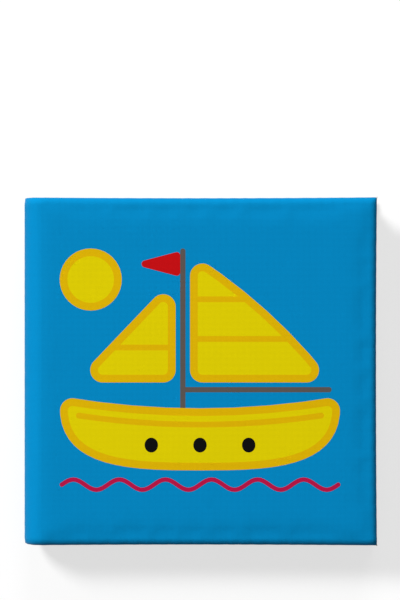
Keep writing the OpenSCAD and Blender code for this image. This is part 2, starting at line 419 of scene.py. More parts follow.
@dataclass(frozen=True)
class FilmFinish:
    """Thin crackling film with sharp creases."""

    name: str
    colour: Colour
    creases_per_m: float = 140.0

    def material(self) -> bpy.types.Material:
        """Make the film's material.

        Returns:
            The material.
        """
        pen = NodePen(self.name)
        creases = pen.add("TexVoronoi", feature="DISTANCE_TO_EDGE")
        pen.feed(creases.inputs["Vector"], pen.add("TexCoord").outputs["Object"])
        pen.feed(creases.inputs["Scale"], self.creases_per_m)
        height = creases.outputs["Distance"]
        # Painted shade darkens the film along its creases.
        return pen.principled(
            pen.blend(height, tinted(self.colour, 0.9), self.colour),
            pen.bump(height, 0.8),
            Roughness=0.18,
        )


@dataclass(frozen=True)
class FloorFinish:
    """Plain white floor: part paint, which keeps the shadow, and part glow that only shows."""

    name: str
    paint: float = 0.34
    glow: float = 0.67

    def material(self) -> bpy.types.Material:
        """Make the floor's material.

        Returns:
            The material.
        """
        pen = NodePen(self.name)
        paint = pen.add("BsdfDiffuse")
        pen.feed(paint.inputs["Color"], (self.paint,) * 3)
        rays = pen.add("LightPath")
        seen = pen.math("MAXIMUM", rays.outputs["Is Camera Ray"], rays.outputs["Is Glossy Ray"])
        seen = pen.math("MAXIMUM", seen, rays.outputs["Is Transmission Ray"])
        glow = pen.add("Emission")
        pen.feed(glow.inputs["Strength"], pen.math("MULTIPLY", seen, self.glow))
        both = pen.add("AddShader")
        pen.feed(both.inputs[0], paint.outputs[0])
        pen.feed(both.inputs[1], glow.outputs[0])
        return pen.finish(both.outputs[0])


def unit(rows: Rows) -> Rows:
    """Scale vectors, laid along the last axis, to length 1."""
    return rows / np.maximum(np.linalg.norm(rows, axis=-1, keepdims=True), 1e-9)


def grid_normals(rows: Rows) -> Rows:
    """Work out the normals of a grid of points, from its rows and columns."""
    return unit(np.cross(np.gradient(rows, axis=0), np.gradient(rows, axis=1)))


def soft_noise(x: float, y: float, z: float = 0.0) -> float:
    """Perlin noise from -1 to 1 at a place, the same on every run."""
    return noise.noise(Vector((x, y, z)))


def spread(start: float, end: float, cell: float) -> list[float]:
    """Give places between start and end, neither of them included, at most a cell apart."""
    count = max(math.ceil((end - start) / cell), 1)
    return [start + (end - start) * i / count for i in range(1, count)]


def column(places: Places, number: int) -> Rows:
    """Give one number of each place, as an array."""
    return np.array([place[number] for place in places])


def curve_shares(places: Rows, count: int) -> Rows:
    """Give each grid line's share at places between them, along Catmull-Rom curves.

    Args:
        places: The places, as fractions of a grid cell.
        count: How many grid lines there are.

    Returns:
        The shares, as places by grid lines.
    """
    base = np.clip(np.floor(places).astype(int), 0, count - 2)
    t = places - base
    curve = (
        -0.5 * t + t**2 - 0.5 * t**3,
        1 - 2.5 * t**2 + 1.5 * t**3,
        0.5 * t + 2 * t**2 - 1.5 * t**3,
        -0.5 * t**2 + 0.5 * t**3,
    )
    shares = np.zeros((len(places), count))
    for tap, share in enumerate(curve):
        line = np.clip(base + tap - 1, 0, count - 1)
        np.add.at(shares, (np.arange(len(places)), line), share)
    return shares


def grid_quads(count: int, wide: int) -> Rows:
    """Give the faces of a grid, anticlockwise when seen from its normals' side."""
    number = np.arange(count * wide).reshape(count, wide)
    corners = [number[:-1, :-1], number[1:, :-1], number[1:, 1:], number[:-1, 1:]]
    return np.stack(corners, axis=-1).reshape(-1, 4)


def closed_faces(count: int, wide: int) -> list[list[int]]:
    """Give the faces of a closed solid between two grids, the upper one first.

    Args:
        count: Rows in each grid.
        wide: Columns in each grid.

    Returns:
        The faces.
    """
    number = np.arange(count * wide).reshape(count, wide)
    quads = grid_quads(count, wide)
    rim = np.concatenate([number[:-1, 0], number[-1, :-1], number[:0:-1, -1], number[0, :0:-1]])
    following = np.roll(rim, -1)
    below = count * wide
    sides = np.stack([following, rim, rim + below, following + below], axis=-1)
    return np.concatenate([quads, quads[:, ::-1] + below, sides]).tolist()


@dataclass
class MeshParts:
    """Points, faces and flat coordinates of a mesh that is put together bit by bit."""

    points: list[Rows] = field(default_factory=list)
    flat: list[Rows] = field(default_factory=list)
    faces: list[list[int]] = field(default_factory=list)
    count: int = 0

    def add(self, points: Rows, flat: Rows, faces: list[list[int]]) -> None:
        """Add a bit whose faces count its own points from 0.

        Args:
            points: Its points, in millimetres, the front half of them before the back half.
            flat: The flat coordinates of the front half, in millimetres.
            faces: Its faces.
        """
        self.points.append(points)
        self.flat.extend(np.insert(flat, 2, side, axis=1) for side in (0.0, 1.0))
        self.faces.extend([i + self.count for i in face] for face in faces)
        self.count += len(points)

    def add_slab(self, upper: Rows, lower: Rows, flat: Rows, turned: bool) -> None:
        """Add the closed solid between two grids of points.

        Args:
            upper: The grid on the outside.
            lower: The grid on the inside.
            flat: The flat coordinates of both.
            turned: Whether the outside is the side away from the grid's normals.
        """
        if turned:
            upper, lower, flat = upper[:, ::-1], lower[:, ::-1], flat[:, ::-1]
        points = np.concatenate([upper.reshape(-1, 3), lower.reshape(-1, 3)])
        self.add(points, flat.reshape(-1, 2), closed_faces(*upper.shape[:2]))

    def make(self, name: str, material: bpy.types.Material) -> bpy.types.Object:
        """Make the object.

        Args:
            name: The piece's name.
            material: Its finish.

        Returns:
            The piece.
        """
        points = np.concatenate(self.points) * MM
        mesh = bpy.data.meshes.new(name)
        mesh.from_pydata(points.tolist(), [], self.faces)
        flat = np.concatenate(self.flat).astype(np.float32)
        mesh.attributes.new(FLAT, "FLOAT_VECTOR", "POINT").data.foreach_set("vector", flat.ravel())
        mesh.polygons.foreach_set("use_smooth", [True] * len(mesh.polygons))
        mesh.materials.append(material)
        mesh.update()
        piece = bpy.data.objects.new(name, mesh)
        bpy.context.scene.collection.objects.link(piece)
        LOG.info("made %s with %d faces", name, len(mesh.polygons))
        return piece


@dataclass(frozen=True)
class BookSizes:
    """Sizes of the book, taken from the frame where it has them."""

    width: float
    height: float
    half_t: float
    spine_x: float
    leaf_reach: float
    leaf_half_height: float
    leaf_rise: float
    thread_d: float
    stitch_places: tuple[float, ...]
    cover_t: float = 4.5
    fold_t: float = 1.6
    spine_round: float = 7.0
    cloth_t: float = 0.4
    cover_gap: float = 0.3
    leaf_slit: float = 0.4
    slit_start: float = 6.0
    web_t: float = 0.3
    stitch_l: float = 3.0
    stitch_space: float = 1.2

    @classmethod
    def from_frame(cls) -> BookSizes:
        """Read the sizes from the frame's own nodes.

        Returns:
            The sizes.
        """
        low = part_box("back_panel")[0] / MM
        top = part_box("front_panel")[1] / MM
        stitch_low, stitch_high = (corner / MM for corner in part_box("spine_stitching"))
        leaf_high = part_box("pages")[1] / MM
        half_t = (low.z + top.z) / 2
        pitch = cls.stitch_l + cls.stitch_space
        count = round((stitch_high.y - stitch_low.y + cls.stitch_space) / pitch)
        first = stitch_low.y + cls.stitch_l / 2
        return cls(
            width=top.x - stitch_low.x,
            height=top.y - low.y,
            half_t=half_t,
            spine_x=stitch_low.x,
            leaf_reach=leaf_high.x - stitch_low.x,
            leaf_half_height=leaf_high.y,
            leaf_rise=leaf_high.z - half_t,
            thread_d=stitch_high.x - stitch_low.x,
            stitch_places=tuple(first + pitch * i for i in range(count)),
        )

    @property
    def mid_rise(self) -> float:
        """Height of a cover's outside above its end at the spine."""
        return self.half_t - self.cover_gap

    @property
    def inner_reach(self) -> float:
        """Width of the curve that a cover's inside makes at the spine."""
        return self.spine_round - self.fold_t

    @property
    def arc_l(self) -> float:
        """Length of a cover's curve at the spine."""
        high = self.mid_rise - self.cover_t / 2
        return math.pi / 2 * math.hypot(self.spine_round - self.fold_t / 2, high) / math.sqrt(2)

    @property
    def section_l(self) -> float:
        """Length of a cover from the spine to the fore edge, round the curve."""
        return self.arc_l + self.width - self.spine_round


@dataclass(frozen=True)
class SewnEdge:
    """The rounded edge of a padded leaf, which turns in to its seam."""

    width: float
    radius: float
    steps: int = 8
    first_angle: float = 7.0
    turned_in: float = 0.5

    def stations(self) -> Places:
        """List the edge's places from the seam inwards.

        Returns:
            Each place's distance from the outline, its share of the thickness, and its length
            along the cloth from where the flat part starts.
        """
        places = [(self.turned_in, 0.012), (self.turned_in * 0.4, 0.05)]
        for step in range(self.steps + 1):
            angle = math.radians(self.first_angle + (90 - self.first_angle) * step / self.steps)
            places.append((self.width * (1 - math.cos(angle)), math.sin(angle)))
        found = []
        length = 0.0
        last = places[-1]
        for inset, share in reversed(places):
            length += math.hypot(inset - last[0], (share - last[1]) * self.radius)
            last = (inset, share)
            found.append((inset, share, length))
        return found[::-1]

    def up(self, half: float, cell: float) -> Places:
        """List the places from foot to head of a leaf whose two ends are both such edges.

        Args:
            half: Half the leaf's height.
            cell: The most that two flat places are apart.

        Returns:
            Each place's height, its share of the thickness, and its flat height.
        """
        flat_half = half - self.width
        head = [(half - inset, share, flat_half + run) for inset, share, run in self.stations()]
        foot = [(-y, share, -run) for y, share, run in head]
        return foot + [(y, 1.0, y) for y in spread(-flat_half, flat_half, cell)] + head[::-1]

    def end(self, length: float) -> Places:
        """List the places where a leaf of a length ends in this edge, from the flat part out."""
        flat = length - self.width
        return [(length - inset, share, flat + run) for inset, share, run in self.stations()][::-1]


@dataclass(frozen=True)
class Puckers:
    """What a seam does to its cloth: small ripples that die away from it, and soft waves."""

    seed: float
    depth: float = 0.08
    reach: float = 3.0
    pitch: float = 5.0
    waves: float = 0.05
    wave_length: float = 26.0
    slack: float = 0.0
    slack_length: float = 17.0

    def ripple(self, run: float, seam: int) -> float:
        """Give the ripple's height at a place along a seam.

        Args:
            run: The place along the seam.
            seam: The seam's number.

        Returns:
            The height, from about -1 to 1.
        """
        wander = 0.6 * soft_noise(run / 11.0, self.seed + 3.1 * seam)
        strength = 0.65 + 0.7 * soft_noise(run / 17.0, self.seed + 7.7 * seam, 2.0)
        return strength * math.sin(2 * math.pi * (run / self.pitch + wander))

    def height(self, along: float, up: float, seams: tuple[tuple[float, float], ...]) -> float:
        """Give how far the cloth stands out from its plain form.

        Args:
            along: The cloth's flat coordinate along the section.
            up: The cloth's flat coordinate from the foot to the head.
            seams: For each seam the distance to it and the place along it.

        Returns:
            The height.
        """
        free = 1.0
        sewn = 0.0
        for number, (away, run) in enumerate(seams):
            fade = math.exp(-max(away, 0.0) / self.reach)
            free *= 1 - fade
            if fade > 0.01:
                sewn += fade * self.ripple(run, number)
        x, y = along / self.wave_length, up / self.wave_length
        soft = soft_noise(x, y, self.seed) + 0.4 * soft_noise(2.7 * x, 2.7 * y, self.seed + 5)
        dip = 0.0
        if self.slack:
            x, y = along / self.slack_length, up / self.slack_length
            dip = 0.5 + soft_noise(x, 0.6 * y, self.seed + 9) + 0.5 * soft_noise(2 * x, 2 * y, 4.0)
        return self.depth * sewn + (self.waves * soft - self.slack * max(dip, 0.0)) * free


@dataclass(frozen=True)
class PaddedCover:
    """One padded cover: its two cloths, its seam, and how they curve into the stitched spine."""

    sizes: BookSizes
    side: Side
    edge_width: float = 2.6
    fold_l: float = 0.6
    fold_end: float = 0.25
    fold_depth: float = 0.12
    lining_fold: tuple[tuple[float, float], ...] = ((0.42, 0.2), (0.2, 0.33), (0.5, 0.38))
    fold_cell: float = 0.22
    outer_crease: float = 0.118
    lining_crease: float = 0.238
    crease_l: float = 0.004
    cell: float = 1.0
    pull_in: float = 0.3

    def edge(self) -> SewnEdge:
        """The rounded edge of the cover."""
        return SewnEdge(self.edge_width, self.sizes.cover_t / 2)

    def outward(self, face: Face) -> int:
        """Tell whether a face's outside is where the grid's normals point, 1, or not, -1."""
        return self.side.value * face.value

    def curve(self, length: float, face: Face) -> tuple[float, float]:
        """Follow one face of the cover's section from the spine.

        Args:
            length: The length along the section, below 0 inside the stitched fold.
            face: The face.

        Returns:
            The distance from the spine and the height over the middle of the book.
        """
        s = self.sizes
        if length < self.fold_end:
            return self.fold((length + self.fold_l) / (self.fold_end + self.fold_l), face)
        angle = math.pi / 2 * min(length, s.arc_l) / s.arc_l
        beyond = max(length - s.arc_l, 0.0)
        if face is Face.OUTER:
            near, reach, rise = 0.0, s.spine_round, s.mid_rise
        else:
            near, reach, rise = s.fold_t, s.inner_reach, s.mid_rise - s.cover_t
        return near + reach * (1 - math.cos(angle)) + beyond, s.cover_gap + rise * math.sin(angle)

    def fold(self, share: float, face: Face) -> tuple[float, float]:
        """Follow one face of the section inside the stitched fold.

        Args:
            share: The place, from 0 at the stitches to 1 where the fold ends.
            face: The face.

        Returns:
            The distance from the spine and the height over the middle of the book.
        """
        u, z = self.curve(self.fold_end, face)
        if face is Face.OUTER:
            turn = math.pi / 2 * share
            return u + (self.fold_depth - u) * (1 - math.sin(turn)), z * (1 - math.cos(turn))
        rest = 1 - share
        shares = (rest**3, 3 * rest**2 * share, 3 * rest * share**2, share**3)
        u, z = np.array(shares) @ np.array([*self.lining_fold, (u, z)])
        return float(u), float(z)

    def section_places(self) -> Places:
        """List the places along the section as length, share of the thickness and flat length."""
        s = self.sizes
        lengths = [
            -self.fold_l,
            *spread(-self.fold_l, self.fold_end, self.fold_cell),
            self.fold_end,
            *spread(self.fold_end, s.arc_l, self.cell * 0.6),
            s.arc_l,
            *spread(s.arc_l, s.section_l - self.edge_width, self.cell),
        ]
        return [(length, 1.0, length) for length in lengths] + self.edge().end(s.section_l)

    def height_places(self) -> Places:
        """List the places up the cover as height, share of the thickness and flat height."""
        return self.edge().up(self.sizes.height / 2, self.cell)

    def plain(self, face: Face, section: Places, heights: Places) -> Rows:
        """Lay one face of the cover with nothing pressing on it.

        Args:
            face: The face.
            section: The places along the section.
            heights: The places up the cover.

        Returns:
            The face's points.
        """
        s = self.sizes
        outer = np.array([self.curve(place[0], Face.OUTER) for place in section])
        inner = np.array([self.curve(place[0], Face.INNER) for place in section])
        shares = np.outer(column(section, 1), column(heights, 1))
        wall, middle = (outer - inner) / 2, (outer + inner) / 2
        points = middle[:, None, :] + face.value * shares[..., None] * wall[:, None, :]
        along = np.clip(column(section, 0) / s.section_l, 0.0, 1.0)[:, None]
        up = column(heights, 0)[None, :]
        across = 2 * up / s.height
        x = points[..., 0] - self.pull_in * (1 - across**2) * along**6
        bow = 1 - (2 * along - 1) ** 2
        y = up - np.sign(up) * self.pull_in * bow * abs(across) ** 6
        return np.stack([s.spine_x + x, y, s.half_t + self.side.value * points[..., 1]], axis=-1)


@dataclass(frozen=True)
class FilledCover:
    """Cloth simulation of a cover, whose filling presses its sewn cloth outwards.

    The cloth is cut a little larger than its frame of seams, so that it wrinkles as it fills.
    """

    cover: PaddedCover
    cell: float = 2.4
    enlarged: float = 10.0
    pressure: float = 0.25
    slack: float = 0.0012
    frames: int = 24
    most: float = 0.5
    plain_reach: float = 10.0

    def places(self) -> tuple[Rows, Rows]:
        """Give the even places along the section and up the cover where the swell is known."""
        s = self.cover.sizes
        along = np.linspace(0.0, s.section_l, round(s.section_l / self.cell) + 1)
        up = np.linspace(-s.height / 2, s.height / 2, round(s.height / self.cell) + 1)
        return along, up

    def share(self, away: Rows) -> Rows:
        """Give the share of the thickness at distances from the outline."""
        inside = np.clip(away / self.cover.edge_width, 0.0, 1.0)
        return np.sqrt(np.maximum(1 - (1 - inside) ** 2, 0.0004))

    def swell(self) -> Rows:
        """Simulate how far the outer cloth swells.

        Returns:
            The swell at each place along the section and up the cover.
        """
        s = self.cover.sizes
        along, up = self.places()
        section = list(zip(along, self.share(s.section_l - along)))
        heights = list(zip(up, self.share(s.height / 2 - abs(up))))
        faces = [self.cover.plain(face, section, heights) for face in (Face.OUTER, Face.INNER)]
        shape = faces[0].shape[:2]
        sewn = np.ones(shape, bool)
        sewn[1:-1, 1:-1] = False
        pinned = np.concatenate([sewn.ravel(), np.ones(sewn.size, bool)])
        start = np.concatenate([face.reshape(-1, 3) for face in faces]) * MM * self.enlarged
        end = self.settle(start, closed_faces(*shape), pinned)
        moved = (end - start)[: sewn.size].reshape(*shape, 3) / (MM * self.enlarged)
        swell = np.einsum("ijk,ijk->ij", moved, grid_normals(faces[0]))
        LOG.info("the filling lifts the cloth by up to %.2f mm before it is limited", swell.max())
        return self.most * np.tanh(np.maximum(swell, 0.0) / self.most)

    def settle(self, start: Rows, faces: list[list[int]], pinned: Rows) -> Rows:
        """Run the cloth simulation.

        Args:
            start: The points before it, in metres.
            faces: The faces of the closed cover.
            pinned: Whether each point is held.

        Returns:
            The points after it.
        """
        mesh = bpy.data.meshes.new("filled_cover")
        mesh.from_pydata(start.tolist(), [], faces)
        pad = bpy.data.objects.new("filled_cover", mesh)
        bpy.context.scene.collection.objects.link(pad)
        pad.vertex_groups.new(name="sewn").add(np.flatnonzero(pinned).tolist(), 1.0, "REPLACE")
        cloth = pad.modifiers.new("cloth", "CLOTH")
        settings = cloth.settings
        settings.vertex_group_mass = "sewn"
        settings.quality = 8
        settings.mass = 0.25
        settings.air_damping = 3.0
        settings.tension_stiffness = settings.compression_stiffness = 18.0
        settings.shear_stiffness = 8.0
        settings.bending_stiffness = 0.6
        settings.use_pressure = True
        settings.uniform_pressure_force = self.pressure
        settings.shrink_min = -self.slack
        settings.effector_weights.gravity = 0.0
        cloth.collision_settings.use_collision = False
        cloth.point_cache.frame_end = self.frames
        scene = bpy.context.scene
        for number in range(1, self.frames + 1):
            scene.frame_set(number)
        found = pad.evaluated_get(bpy.context.evaluated_depsgraph_get()).data.vertices
        end = np.empty(len(found) * 3)
        found.foreach_get("co", end)
        bpy.data.objects.remove(pad)
        bpy.data.meshes.remove(mesh)
        scene.frame_set(1)
        return end.reshape(-1, 3)


@dataclass(frozen=True)
class CoverCloth:
    """One cloth of a padded cover, cut, filled and sewn."""

    cover: PaddedCover
    face: Face
    puckers: Puckers
    swell: Rows
    swell_share: float
    fold_cloth_t: float = 0.05
    fold_reach: float = 2.0
    foot_seam_shift: float = 40.0
    spine_seam_shift: float = 80.0

    def seams(self, length: float, up: float) -> tuple[tuple[float, float], ...]:
        """Give the distance to each seam and the place along it: fore edge, head, foot, spine."""
        s = self.cover.sizes
        half = s.height / 2
        return (
            (s.section_l - length, up),
            (half - up, length),
            (half + up, length + self.foot_seam_shift),
            (length + self.cover.fold_l, up + self.spine_seam_shift),
        )

    def relief(self, section: Places, heights: Places) -> Rows:
        """Give how far sewing and filling move the cloth outwards.

        Args:
            section: The places along the section.
            heights: The places up the cover.

        Returns:
            The height at each place.
        """
        s = self.cover.sizes
        count, wide = self.swell.shape
        rows = np.clip(column(section, 0) / s.section_l, 0.0, 1.0) * (count - 1)
        columns = (column(heights, 0) / s.height + 0.5) * (wide - 1)
        filled = curve_shares(rows, count) @ self.swell @ curve_shares(columns, wide).T
        sewn = np.array(
            [
                [self.puckers.height(length, up, self.seams(length, up)) for up, _, _ in heights]
                for length, _, _ in section
            ]
        )
        sewn *= np.sqrt(np.outer(column(section, 1), column(heights, 1)))
        return (self.swell_share * filled + sewn) * self.from_fold(section)[:, None]

    def from_fold(self, section: Places) -> Rows:
        """Give a share that grows from 0 in the stitched fold to 1 where the cover is free."""
        return np.clip(column(section, 0) / self.fold_reach, 0.0, 1.0)

    def make(self, name: str, material: bpy.types.Material) -> bpy.types.Object:
        """Make the cloth as a closed mesh of its own thickness, no lower than the floor.

        Args:
            name: The piece's name.
            material: Its finish.

        Returns:
            The piece.
        """
        section, heights = self.cover.section_places(), self.cover.height_places()
        way = self.cover.outward(self.face)
        rows = self.cover.plain(self.face, section, heights)
        rows = rows + way * grid_normals(rows) * self.relief(section, heights)[..., None]
        rows[..., 2] = np.maximum(rows[..., 2], 0.0)
        full = self.cover.sizes.cloth_t
        thick = self.fold_cloth_t + (full - self.fold_cloth_t) * self.from_fold(section)
        under = rows - way * grid_normals(rows) * thick[:, None, None]
        flat = np.stack(np.meshgrid(column(section, 2), column(heights, 2), indexing="ij"), axis=-1)
        parts = MeshParts()
        parts.add_slab(rows, under, flat, way < 0)
        return parts.make(name, material)


@dataclass(frozen=True)
class InnerLeaf:
    """One padded inner leaf, from the stitched fold to the fore edge."""

    sizes: BookSizes
    side: Side
    edge_width: float = 2.8
    cell: float = 1.1
    fold_gap: float = 0.03
    free_from_fold: float = 8.0
    puckers: Puckers = Puckers(91.0, waves=0.04, slack=0.45)

    @property
    def arc_l(self) -> float:
        """Length of the leaf's curve at the fold."""
        rise = self.sizes.leaf_rise - self.sizes.web_t / 2
        return math.pi / 2 * math.hypot(self.sizes.inner_reach, rise) / math.sqrt(2)

    @property
    def web_l(self) -> float:
        """Length of the flat web between the stitches and the leaf's curve."""
        return self.sizes.fold_t + self.sizes.cover_gap - self.sizes.thread_d

    @property
    def section_l(self) -> float:
        """Length of the leaf's outside from the fold to the fore edge."""
        s = self.sizes
        return self.web_l + self.arc_l + s.leaf_reach - s.thread_d - self.web_l - s.inner_reach

    def curve(self, length: float) -> tuple[float, float, float]:
        """Follow the leaf's section from the fold.

        Args:
            length: The length along the leaf's outside.

        Returns:
            The distance from the spine, the height of the outside and that of the slit's side.
        """
        s = self.sizes
        web = s.web_t / 2
        flat = min(length, self.web_l)
        angle = math.pi / 2 * min(max(length - flat, 0.0), self.arc_l) / self.arc_l
        beyond = max(length - flat - self.arc_l, 0.0)
        u = s.thread_d + flat + s.inner_reach * (1 - math.cos(angle)) + beyond
        opened = min((u - s.thread_d) / (s.slit_start - s.thread_d), 1.0)
        slit = self.fold_gap + (s.leaf_slit / 2 - self.fold_gap) * opened**2
        return u, web + (s.leaf_rise - web) * math.sin(angle), slit

    def relief(self, section: Places, heights: Places, face: int) -> Rows:
        """Give how far sewing moves one face of the leaf outwards.

        Args:
            section: The places along the section.
            heights: The places up the leaf.
            face: The face's number.

        Returns:
            The height at each place.
        """
        half = self.sizes.leaf_half_height
        shift = 30.0 * face + 200.0 * self.side.value
        found = np.empty((len(section), len(heights)))
        for i, (length, _, _) in enumerate(section):
            for j, (up, _, _) in enumerate(heights):
                seams = (
                    (self.section_l - length, up + shift),
                    (half - up, length + shift),
                    (half + up, length - shift),
                )
                found[i, j] = self.puckers.height(length + shift, up, seams)
        free = np.minimum(column(section, 0) / self.free_from_fold, 1.0) ** 2 * column(section, 1)
        return found * np.sqrt(np.outer(free, column(heights, 1)))

    def add_to(self, parts: MeshParts) -> None:
        """Add the leaf's closed mesh.

        Args:
            parts: The mesh of both leaves.
        """
        s = self.sizes
        edge = SewnEdge(self.edge_width, (s.leaf_rise - s.leaf_slit / 2) / 2)
        lengths = [0.0, *spread(0.0, self.section_l - self.edge_width, self.cell)]
        section = [(length, 1.0, length) for length in lengths] + edge.end(self.section_l)
        heights = edge.up(s.leaf_half_height, self.cell)
        curve = np.array([self.curve(place[0]) for place in section])
        middle, wall = (curve[:, 1] + curve[:, 2]) / 2, (curve[:, 1] - curve[:, 2]) / 2
        shares = np.outer(column(section, 1), column(heights, 1))
        x, y = np.meshgrid(s.spine_x + curve[:, 0], column(heights, 0), indexing="ij")
        skins = []
        for face, way in enumerate((1, -1)):
            z = middle[:, None] + way * wall[:, None] * shares
            rows = np.stack([x, y, s.half_t + self.side.value * z], axis=-1)
            lift = self.relief(section, heights, face)[..., None]
            skins.append(rows + self.side.value * way * grid_normals(rows) * lift)
        flat = np.stack(np.meshgrid(column(section, 2), column(heights, 2), indexing="ij"), axis=-1)
        parts.add_slab(*skins, flat, self.side is Side.BACK)


@dataclass(frozen=True)
class Stitching:
    """Sewing thread, as short stitches of two plies that twist round each other."""

    thread_d: float
    sides: int = 6
    twist_l: float = 1.1
    ply_share: float = 0.56

    def add_stitch(self, parts: MeshParts, path: list[Vector], side: Vector) -> None:
        """Add one stitch.

        Args:
            parts: The mesh of all the stitches.
            path: The middle of the stitch, from one end to the other.
            side: A direction square to the whole path.
        """
        ply_d = self.thread_d * self.ply_share
        last = len(path) - 1
        length = sum((b - a).length for a, b in zip(path, path[1:]))
        for ply in (0, 1):
            rings = []
            for i, middle in enumerate(path):
                along = path[min(i + 1, last)] - path[max(i - 1, 0)]
                across = along.cross(side).normalized()
                share = i / last
                turn = 2 * math.pi * length / self.twist_l * share + math.pi * ply
                offset = (self.thread_d - ply_d) / 2
                centre = middle + offset * (math.cos(turn) * across + math.sin(turn) * side)
                taper = math.sqrt(max(1 - (2 * share - 1) ** 8, 0.02))
                for k in range(self.sides):
                    a = 2 * math.pi * k / self.sides
                    spoke = math.cos(a) * across + math.sin(a) * side
                    rings.append(centre + ply_d / 2 * taper * spoke)
            self.add_tube(parts, rings)

    def add_tube(self, parts: MeshParts, rings: list[Vector]) -> None:
        """Add a closed tube from its rings of points.

        Args:
            parts: The mesh that it goes into.
            rings: The points, ring after ring.
        """
        faces = []
        last = len(rings) - self.sides
        for start in range(0, last, self.sides):
            for k in range(self.sides):
                a, b = start + k, start + (k + 1) % self.sides
                faces.append([a, a + self.sides, b + self.sides, b])
        faces.append(list(range(self.sides)))
        faces.append(list(range(last, last + self.sides))[::-1])
        parts.add(np.array(rings), np.zeros((len(rings) // 2, 2)), faces)


class PrintGround:
    """The cloth that the inks lie on."""

    def __init__(self, cloth: bpy.types.Mesh) -> None:
        """Note the cloth's faces, points and normals.

        Args:
            cloth: The cloth's mesh.
        """
        self.points = [v.co.copy() for v in cloth.vertices]
        self.normals = [v.normal.copy() for v in cloth.vertices]
        self.corners = [tuple(face.vertices) for face in cloth.polygons]
        self.tree = BVHTree.FromPolygons(self.points, self.corners)

    def under(self, x: float, y: float) -> tuple[Vector, Vector]:
        """Find the cloth under a place.

        Args:
            x: The place's X, in metres.
            y: The place's Y, in metres.

        Returns:
            The point on the cloth and its smooth normal.
        """
        hit, _, face, _ = self.tree.ray_cast(Vector((x, y, 1.0)), Vector((0, 0, -1)))
        corners = self.corners[face]
        shares = poly_3d_calc([self.points[i] for i in corners], hit)
        normal = sum((self.normals[i] * share for i, share in zip(corners, shares)), Vector())
        return hit, normal.normalized()


@dataclass(frozen=True)
class PrintedShape:
    """One ink of the cover print, laid on the cloth of the front cover."""

    node: str
    slot: str
    dye: Dye
    cell: float = 1.5
    stands: float = 0.03
    sinks: float = 0.08

    def outline(self) -> bmesh.types.BMesh:
        """Take the ink's flat shape from its CAD node, cut into small cells.

        Returns:
            The shape as a flat mesh, in metres.
        """
        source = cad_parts[self.node].data
        top = max(v.co.z for v in source.vertices)
        work = bmesh.new()
        work.from_mesh(source)
        bmesh.ops.remove_doubles(work, verts=work.verts, dist=1e-6)
        under = [f for f in work.faces if any(v.co.z < top - 1e-6 for v in f.verts)]
        bmesh.ops.delete(work, geom=under, context="FACES")
        low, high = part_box(self.node)
        for axis in (0, 1):
            normal = Vector((1 - axis, axis, 0))
            for place in spread(low[axis], high[axis], self.cell * MM):
                geom = work.verts[:] + work.edges[:] + work.faces[:]
                bmesh.ops.bisect_plane(work, geom=geom, plane_co=normal * place, plane_no=normal)
        bmesh.ops.dissolve_degenerate(work, dist=1e-6, edges=work.edges)
        work.verts.index_update()
        return work

    def make(self, ground: PrintGround, sizes: BookSizes) -> bpy.types.Object:
        """Lay the ink on the cloth, shaded as the cloth under it.

        Args:
            ground: The front cover's outer cloth.
            sizes: The sizes of the book.

        Returns:
            The piece.
        """
        work = self.outline()
        found = [ground.under(vert.co.x, vert.co.y) for vert in work.verts]
        points = np.array([point / MM for point, _ in found])
        shading = [normal for _, normal in found]
        upper = points + (0, 0, self.stands)
        lower = points - (0, 0, self.sinks)
        count = len(points)
        tops = [[v.index for v in face.verts] for face in work.faces]
        faces = tops + [[i + count for i in reversed(face)] for face in tops]
        for edge in work.edges:
            if len(edge.link_faces) == 1:
                loop = edge.link_loops[0]
                a, b = loop.vert.index, loop.link_loop_next.vert.index
                faces.append([b, a, a + count, b + count])
        work.free()
        along = upper[:, 0] - sizes.spine_x + sizes.arc_l - sizes.spine_round
        flat = np.stack([along, upper[:, 1]], axis=-1)
        parts = MeshParts()
        parts.add(np.concatenate([upper, lower]), flat, faces)
        finish = ClothFinish(f"{self.slot}_ink", self.dye.value, gap_shade=LIGHT_GAP_SHADE).material()
        piece = parts.make(self.node + "_ink", finish)
        piece.data.normals_split_custom_set_from_vertices(shading * 2)
        return piece


